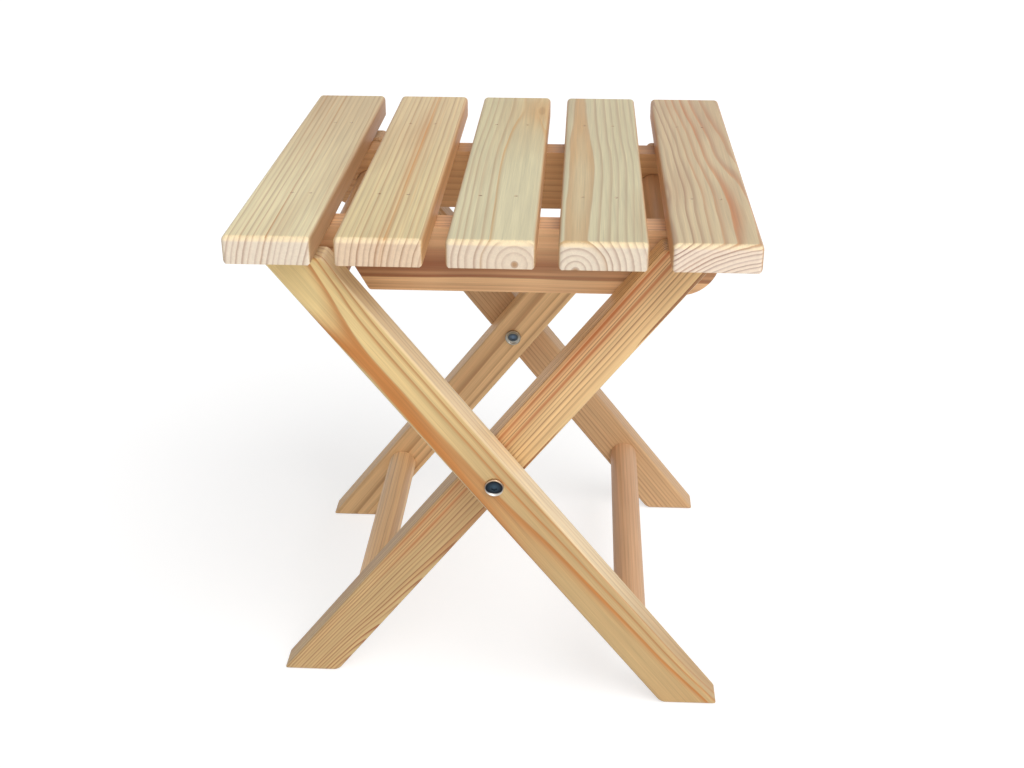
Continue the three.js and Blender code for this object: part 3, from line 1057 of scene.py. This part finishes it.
def pine(name, centre, turn, wood):
    """wood is a dictionary in metres and linear colours. What it leaves out is plain."""
    early = wood["early"]
    wood = {**plain_wood, "low": early, "edge": early, "rim": early, "streak": wood["late"], **wood}
    material = bpy.data.materials.new(name)
    tree = fresh_nodes(material)
    coordinates = put(tree, "ShaderNodeTexCoord").outputs
    turned = turn.to_euler("XYZ")
    spot = own_frame(tree, coordinates["Object"], Location=centre, Rotation=turned)
    along = parts(tree, spot)[1]
    sockets = {socket: wood[socket.lower()] for socket in ("Seed", "Wander", "Knot", "Lift")}
    sockets["Spot"] = spot
    sockets["Pith"] = pith_path(tree, along, wood["pith"])
    rings = put(tree, "ShaderNodeGroup", sockets, node_tree=rings_group).outputs
    level = streak_level(tree, rings["Radius"], wood["streaks"]) if "streaks" in wood else 0
    if "fade" in wood:
        level = maths(tree, "MULTIPLY", level, spread(tree, along, *wood["fade"], smoothly=True))
    edge_share = wood["edge_share"]
    if "edge_fade" in wood:
        fade = spread(tree, along, *wood["edge_fade"], smoothly=True)
        edge_share = maths(tree, "MULTIPLY", fade, edge_share)
    sockets = {socket: wood[socket.lower().replace(" ", "_")] for socket in same_sockets}
    sockets.update({
        "Spot": spot,
        "Face": own_frame(tree, coordinates["Normal"], Rotation=turned),
        "Radius": rings["Radius"],
        "Halo": rings["Halo"],
        "Knot distance": rings["Knot distance"],
        "Rings per metre": 1 / wood["ring_width"],
        "Ring start": -wood["ring_end"] / wood["ring_width"],
        "Calm radius": wood["calm"],
        "Painted light from": wood["drift"][0],
        "Painted light to": wood["drift"][1],
        "Edge share": edge_share,
        "Streak level": level,
    })
    colours = put(tree, "ShaderNodeGroup", sockets, node_tree=colours_group).outputs
    relief = {"Height": colours["Height"], "Strength": grain_bump_share, "Distance": grain_relief}
    bump = put(tree, "ShaderNodeBump", relief)
    shader = put(
        tree,
        "ShaderNodeBsdfPrincipled",
        {
            "Base Color": colours["Color"],
            "Roughness": colours["Roughness"],
            "Normal": bump.outputs[0],
            "IOR": varnish_ior,
            "Coat Weight": varnish_weight,
            "Coat Roughness": varnish_roughness,
        },
    )
    show(tree, shader)
    return material


def dress(piece, material):
    piece.data.materials.clear()
    piece.data.materials.append(material)


# %% [markdown]
# ## Slat wood
# The five slats look as if they come from different trees. Their piths were worked out from the
# arcs on the sawn front ends, and the paths of the piths from the lines on the tops. The third
# and fourth slats hold the pith itself near their undersides. All places are in millimetres
# from a board's middle. Colours are screen values from 0 to 255, chosen and adjusted
# until the average tone of each face came near the photograph's.

# %% Slats in pine
along_slats, upwards = (0, 1, 0), (0, 0, 1)
# Painted light on every slat: the edge colour is painted shade on the narrow sides in the gaps, and the rim
# colour is a painted highlight along the top edges of the ends.
slat_ends = {
    "end_early": (244, 228, 206), "end_late": (166, 120, 94), "end_strength": 0.72,
    "edge": (212, 152, 98), "edge_share": 0.75, "rim": (255, 232, 190), "rim_share": 0.85,
    "drift": (-150, 150),
}

# Each slat's low colour is a painted highlight: the slat grows lighter towards its front end.
slat_woods = [
    {
        "pith": [(-215, 190, -50), (215, 183.5, -50)],
        "ring_width": 4.56, "ring_end": 199.1, "seed": 1.3, "wander": 2,
        "early": (213, 189, 147), "low": (240, 225, 182), "late": (172, 126, 78), "strength": 0.5,
        "edge": (186, 134, 90), "end_strength": 0.6, "streak": (190, 130, 74),
        "streaks": [(199.3, 1.8, 0.75), (208.3, 1.5, 0.5), (218.1, 1.5, 0.5)],
    },
    {
        "pith": [(-215, 90, -20), (215, 90, -20)],
        "ring_width": 4.7, "ring_end": 89, "seed": 2.7, "wander": 1.4,
        "early": (224, 199, 153), "low": (230, 209, 158), "late": (180, 128, 76), "strength": 0.66,
        "end_early": (240, 213, 182), "end_late": (162, 110, 78),
        "streak": (208, 146, 80),
        "streaks": [(70.6, 1.4, 0.3), (80.9, 1.6, 0.3), (90.6, 4, 0.8), (95, 10, 0.25)],
    },
    {
        "pith": [
            (-215, 18.3, -7.3), (-190, 18, -7.2), (-40, 16.2, -6.65), (10, 16.2, -6.85), (60, 16.8, -8.05),
            (110, 17.5, -9.65), (160, 18, -10.7), (215, 18, -11.6),
        ],
        "ring_width": 5.6, "ring_end": 26.2, "seed": 4.1, "wander": 1.2,
        "early": (215, 202, 160), "low": (222, 211, 172), "late": (174, 132, 86), "strength": 0.62,
        "calm": 27, "end_early": (241, 222, 198),
        "knot": (27, 160, 11), "lift": 4,
        "streak": (210, 164, 102), "streaks": [(26.4, 2.6, 0.7)],
    },
    {
        "pith": [
            (-215, -20.9, -11.7), (-190, -20.5, -11.55), (-140, -19.5, -11.25), (-90, -18.4, -11),
            (-40, -17.5, -10.85), (10, -17.8, -11.05), (60, -19.7, -11.35), (110, -20, -12.15),
            (160, -20.6, -12.45), (215, -21, -12.7),
        ],
        "ring_width": 5.2, "ring_end": 23.8, "seed": 5.6, "wander": 1,
        "early": (213, 200, 162), "low": (220, 209, 171), "late": (170, 132, 92), "strength": 0.62,
        "calm": 24, "streak": (208, 164, 106), "streaks": [(24.1, 6, 0.6)],
    },
    {
        "pith": [
            (-215, 46, -101.5), (-190, 45, -102), (-140, 42, -103), (-90, 46, -101.6), (-40, 46.5, -100.2),
            (10, 49, -97.5), (60, 48.5, -97), (110, 46.5, -96.5), (160, 44, -96), (215, 42, -95.6),
        ],
        "ring_width": 3.3, "ring_end": 117, "seed": 7.2, "wander": 1,
        "early": (210, 185, 146), "low": (219, 197, 157), "late": (164, 114, 80), "strength": 0.7,
        "end_early": (254, 234, 213), "end_late": (158, 106, 80), "end_strength": 0.95,
        "streak": (200, 134, 84), "streaks": [
            (110.5, 1.4, 0.4), (113.8, 1.4, 0.5), (117.2, 2, 0.75), (120.4, 1.4, 0.55), (123.7, 1.4, 0.4),
        ],
    },
]


def wood_for(name, along, through, wood, centre=None):
    """Turns one row of a table, in millimetres and screen colours, into a material."""
    wood = dict(wood)
    for key, value in wood.items():
        if key in ("early", "low", "late", "end_early", "end_late", "edge", "rim", "streak"):
            wood[key] = srgb(*value)
        elif key in ("ring_width", "ring_end", "wander", "lift", "calm"):
            wood[key] = value * millimetre
        elif key in ("knot", "fade", "edge_fade", "drift"):
            wood[key] = tuple(part * millimetre for part in value)
        elif key == "pith":
            wood[key] = [tuple(part * millimetre for part in point) for point in value]
        elif key == "streaks":
            wood[key] = [(sharp * millimetre, width * millimetre, level) for sharp, width, level in value]
    return pine(name + "_pine", centre or middle(name), board_frame(along, through), wood)


for slat, name, wood in zip(slats, slat_names, slat_woods):
    dress(slat, wood_for(name, along_slats, upwards, {**slat_ends, **wood}))
print(len(slat_woods), "slat woods")

# %% [markdown]
# ## Rail wood
# The rails are redder than the slats, with plain lines that sway, and the front one has a broad
# brown band under its middle. This band is partly the wood's own colour and partly painted shade
# from the slats above it.

# %% Rails in pine
along_rails, forwards = (1, 0, 0), (0, -1, 0)
plain_look = {"end_early": (224, 194, 158), "end_late": (160, 112, 80), "drift": (-140, 20)}
rail_woods = {
    "seat_rail_front": {
        "pith": [(-180, -50, -40), (180, -46, -40)],
        "ring_width": 6.5, "ring_end": 83.6, "seed": 8.8, "wander": 8,
        "early": (248, 202, 152), "late": (160, 102, 66), "strength": 0.55,
        # The first, broad streak darkens the front face, partly as the wood's own brown and partly as
        # painted shade under the slats.
        "streak": (158, 96, 60), "streaks": [(80, 30, 0.8), (84.4, 5, 0.85), (92.6, 4, 0.35)],
    },
    "seat_rail_rear": {
        "pith": [(-180, -70, -40), (180, -66, -40)],
        "ring_width": 5, "ring_end": 90, "seed": 9.4, "wander": 8,
        "early": (204, 156, 107), "late": (160, 104, 62), "strength": 0.5,
    },
}
for rail, name in zip(rails, rail_names):
    dress(rail, wood_for(name, along_rails, forwards, {**plain_look, **rail_woods[name]}))
print(len(rail_woods), "rail woods")

# %% [markdown]
# ## Leg wood
# The legs show their grain most. The front leg that rises to the left is pale, with one strong
# orange ring that the saw met nearly flat at the top and more squarely at the foot. The one that
# rises to the right is tawny and tightly lined. Its lines run straight above the crossing and
# spread out below it.

# %% Legs in pine
leg_woods = {
    "outer_leg_front": {
        "pith": [
            (-279, -11.2, 25), (-253, -11.2, 30.2), (-226, -11.2, 33.1), (-197, -11.2, 34.1),
            (-142, -11.2, 36.6), (-88, -11.2, 38.2), (-38, -11.2, 40.2), (25, -11.2, 41.4),
            (108, -11.2, 41.8), (173, -11.2, 41.3), (195, -11.2, 39.7), (213, -11.2, 37.5),
            (230, -11.2, 35),
        ],
        "ring_width": 5.6, "ring_end": 27.2, "seed": 3.1, "wander": 0.6, "calm": 27,
        "early": (240, 211, 150), "low": (206, 173, 122), "late": (172, 118, 68), "strength": 0.55,
        # Painted light on this leg: the pale cream edge colour is a painted highlight on its narrow sides
        # that fades out towards the foot, and the low colour is painted shade towards the foot.
        "edge": (252, 230, 192), "edge_share": 0.85, "edge_fade": (-270, -60), "drift": (-60, 200),
        "streak": (200, 126, 58), "streaks": [(27.3, 4.6, 0.85), (32.9, 1.8, 0.65), (38.1, 1.6, 0.5)],
    },
    "outer_leg_rear": {
        "pith": [(-280, -52, -30), (250, -50, -30)],
        "ring_width": 2.9, "ring_end": 60, "seed": 6.3, "wander": 2,
        "early": (214, 174, 128), "late": (158, 104, 70), "strength": 0.6,
    },
    "inner_leg_front": {
        "pith": [
            (-279, 30, 25.9), (-230, 30, 31), (-188, 30, 36.3), (-150, 30, 39), (-101, 30, 42.1),
            (-45, 30, 44), (20, 30, 45), (224, 30, 45),
        ],
        "ring_width": 2.4, "ring_end": 47.6, "seed": 5.2, "wander": 0.6,
        # The low colour is painted shade: this leg grows darker towards its foot.
        "early": (255, 214, 156), "low": (207, 175, 124), "late": (158, 98, 56), "strength": 1.15,
        "streak": (190, 108, 54),
        "streaks": [(32.1, 2.6, 0.35), (48.6, 4.5, 0.75), (55.4, 5, 0.9), (58, 16, 0.3)],
        "drift": (-140, 200), "fade": (-185, -80),
    },
    "inner_leg_rear": {
        "pith": [(-280, -24, -40), (250, -20, -44)],
        "ring_width": 4.2, "ring_end": 60, "seed": 7.9, "wander": 3,
        "early": (242, 200, 146), "late": (168, 116, 74), "strength": 0.75,
    },
}
for name, leg in legs.items():
    side = 1 if name.startswith("inner") else -1
    up_leg = (side * math.cos(lean), 0, math.sin(lean))
    crossing = Vector((pivot.x, middle(name).y, pivot.z))
    dress(leg, wood_for(name, up_leg, forwards, {**plain_look, **leg_woods[name]}, crossing))
print(len(leg_woods), "leg woods")

# %% [markdown]
# ## Rod wood
# A turned rod cuts through the rings at every angle, so its lines are narrow at the sides and
# open out where the lathe met the rings flat.

# %% Rods in pine
rod_woods = {
    "seat_hinge_rod": {"pith": [(-150, 30, -20), (150, 30, -22)], "seed": 2.2},
    "inner_lower_rod": {"pith": [(-150, 34, 26), (150, 33, 28)], "seed": 4.9, "early": (255, 214, 163)},
    "seat_rest_rod": {"pith": [(-150, -28, 24), (150, -28, 24)], "seed": 8.1},
    "outer_lower_rod": {"pith": [(-150, -36, 18), (150, -38, 20)], "seed": 9.9},
}
rod_look = {
    "ring_width": 3.4, "ring_end": 30, "wander": 3,
    "early": (216, 172, 131), "late": (180, 126, 88), "strength": 0.4,
}
for rod in rods:
    name = rod.name.replace("_turned", "")
    dress(rod, wood_for(name, along_slats, upwards, {**plain_look, **rod_look, **rod_woods[name]}))
print(len(rod_woods), "rod woods")

# %% [markdown]
# ## Metal
# The bolts are nickel plated and turned, so very fine circles run round their heads. In the
# photograph a head shows a dark oval, blue grey in its middle, with beige above it and a bright
# crescent below. These are most likely reflections of the room it was taken in. A white studio
# has nothing dark to reflect, so they are put into the metal's own colour as a stand-in. The
# brads are dull drawn steel.


# %% Nickel and steel
turning_relief = 0.02 * millimetre
circles_per_metre = 9000
# The soft edge, size, lift and shape of the painted reflection, a dark oval on each head
reflection_edge = 0.5 * millimetre
bolt_reflection_radius = 6.7 * millimetre
nut_reflection_radius = 4.7 * millimetre
reflection_rise = 0.4 * millimetre
reflection_shape_shares = (0.88, 0, 1.08)
fleck_scale, stain_scale, stain_gain = 900, 260, 2.0
clean_share, stain_on_heads_share = 0.4, 0.3
mark_roughness, mark_offset = 0.22, 0.1
turning_bump_share = 0.2


def metal(name, colour, dark, roughness, reflection_radius=None, reflection_middle=None, reflection_rim=None):
    """Metal with fine turning marks about the pivot and a painted reflection, or a plain mottle where it is
    given no radius for the painted reflection.
    """
    material = bpy.data.materials.new(name)
    tree = fresh_nodes(material)
    spot = put(tree, "ShaderNodeTexCoord").outputs["Object"]
    mapped = own_frame(tree, spot, Location=pivot)
    marks = noise(tree, mapped, fleck_scale)[0]
    stain_and_reflection = maths(tree, "SUBTRACT", noise(tree, mapped, stain_scale)[0], clean_share)
    stain_and_reflection = maths(tree, "MULTIPLY", stain_and_reflection, stain_gain, clamp=True)
    # Painted reflection: towards the top of a head the metal turns to its second, beige tone.
    if reflection_radius:
        reflection_above = spread(tree, parts(tree, mapped)[2], -reflection_radius / 2, reflection_radius)
        stain_and_reflection = maths(tree, "MULTIPLY_ADD", stain_and_reflection, stain_on_heads_share, reflection_above, clamp=True)
    shown = blend_colours(tree, stain_and_reflection, colour, dark)
    # The head gets fine turning marks and a painted reflection: a dark oval, blue grey in its middle and
    # near black towards its rim.
    if reflection_radius:
        radius = vectors(tree, "LENGTH", vectors(tree, "MULTIPLY", mapped, (1, 0, 1)))
        marks = noise_along(tree, maths(tree, "MULTIPLY", radius, circles_per_metre), detail=2.0)
        risen = vectors(tree, "SUBTRACT", mapped, (0, 0, reflection_rise))
        oval = vectors(tree, "LENGTH", vectors(tree, "MULTIPLY", risen, reflection_shape_shares))
        inside = spread(tree, oval, reflection_radius + reflection_edge, reflection_radius - reflection_edge)
        reflected = blend_colours(tree, spread(tree, oval, 0.0, reflection_radius), reflection_middle, reflection_rim)
        shown = blend_colours(tree, inside, shown, reflected)
    rough = maths(tree, "MULTIPLY_ADD", marks, mark_roughness, roughness - mark_offset)
    relief = {"Height": marks, "Strength": turning_bump_share, "Distance": turning_relief}
    bump = put(tree, "ShaderNodeBump", relief)
    shader = put(
        tree,
        "ShaderNodeBsdfPrincipled",
        {"Base Color": shown, "Metallic": 1.0, "Roughness": rough, "Normal": bump.outputs[0]},
    )
    show(tree, shader)
    return material


# The second tone of each metal is its mottle. On the heads it is also the painted reflection above the
# oval, and the oval colours are the painted reflection's middle and rim.
bolt_tones = (srgb(208, 205, 200), srgb(186, 160, 134))
bolt_reflection = (srgb(66, 84, 98), srgb(30, 26, 28))
nut_tones = (srgb(160, 158, 150), srgb(150, 136, 114))
nut_reflection = (srgb(104, 122, 142), srgb(60, 64, 64))
brad_tones = (srgb(172, 152, 126), srgb(128, 108, 86))
bolt_roughness, nut_roughness, brad_roughness = 0.34, 0.35, 0.5

nickel = metal("bolt nickel", *bolt_tones, bolt_roughness, bolt_reflection_radius, *bolt_reflection)
nut_nickel = metal("nut nickel", *nut_tones, nut_roughness, nut_reflection_radius, *nut_reflection)
steel = metal("drawn steel", *brad_tones, brad_roughness)
for name, piece in hardware.items():
    dress(piece, nut_nickel if "nut" in name else nickel)
for brad in brads:
    dress(brad, steel)
print("nickel on", len(hardware), "pieces, steel on", len(brads), "brads")

# %% [markdown]
# ## Floor and light
# The stool stands on a plain white floor under two broad lamps far away, which light the whole
# floor alike. One stands above at the right and one is low in front, and the white world fills
# the shadows. To the camera the floor is part glow and part lit paper, so that it is white
# and still holds the stool's soft shadow.

# %% Floor
floor_size = 60
floor_drop = 0.2 * millimetre
white = (1, 1, 1, 1)
lit_grey, faint_grey = (0.8, 0.8, 0.8, 1), (0.5, 0.5, 0.5, 1)
floor_glow = 0.66
select_only(None)
bpy.ops.mesh.primitive_plane_add(size=floor_size, location=(0, 0, cad_box[0][2] - floor_drop))
floor = settle("floor")

paper = bpy.data.materials.new("floor paper")
tree = fresh_nodes(paper)
lit = put(tree, "ShaderNodeBsdfDiffuse", {"Color": lit_grey})
glow = put(tree, "ShaderNodeEmission", {"Color": white, "Strength": floor_glow})
faint = put(tree, "ShaderNodeBsdfDiffuse", {"Color": faint_grey})
bright = put(tree, "ShaderNodeAddShader", {0: faint.outputs[0], 1: glow.outputs[0]})
path = put(tree, "ShaderNodeLightPath").outputs
seen = maths(tree, "MAXIMUM", path["Is Camera Ray"], path["Is Glossy Ray"])
show(tree, put(tree, "ShaderNodeMixShader", {0: seen, 1: lit.outputs[0], 2: bright.outputs[0]}))
dress(floor, paper)
print("floor", floor_size, "m wide")

# %% World and lamps
fill_level, backdrop_level = 0.3, 1.0
lamp_width = math.radians(50)
lamp_distance = 3
key_direction, key_level = (0.45, -0.5, 0.85), 0.6
front_direction, front_level = (0.1, -0.98, 0.22), 0.22

world = bpy.data.worlds.new("studio")
bpy.context.scene.world = world
tree = fresh_nodes(world)
dim = put(tree, "ShaderNodeBackground", {"Color": white, "Strength": fill_level})
backdrop = put(tree, "ShaderNodeBackground", {"Color": white, "Strength": backdrop_level})
path = put(tree, "ShaderNodeLightPath").outputs
seen = maths(tree, "MAXIMUM", path["Is Camera Ray"], path["Is Glossy Ray"])
seen = maths(tree, "MAXIMUM", seen, path["Is Transmission Ray"])
both = put(tree, "ShaderNodeMixShader", {0: seen, 1: dim.outputs[0], 2: backdrop.outputs[0]})
show(tree, both, "ShaderNodeOutputWorld")


def soft_light(name, towards_lamp, level):
    """level is the brightness that the lamp alone gives to white paper facing it."""
    light = bpy.data.lights.new(name, "SUN")
    light.angle = lamp_width
    light.energy = level * math.pi
    lamp = bpy.data.objects.new(name, light)
    lamp.rotation_euler = Vector(towards_lamp).to_track_quat("Z", "Y").to_euler()
    lamp.location = Vector(towards_lamp).normalized() * lamp_distance
    bpy.context.scene.collection.objects.link(lamp)


soft_light("key", key_direction, key_level)
soft_light("front", front_direction, front_level)
bpy.context.scene.view_settings.view_transform = "Standard"
print("world", fill_level, "and two soft lights")
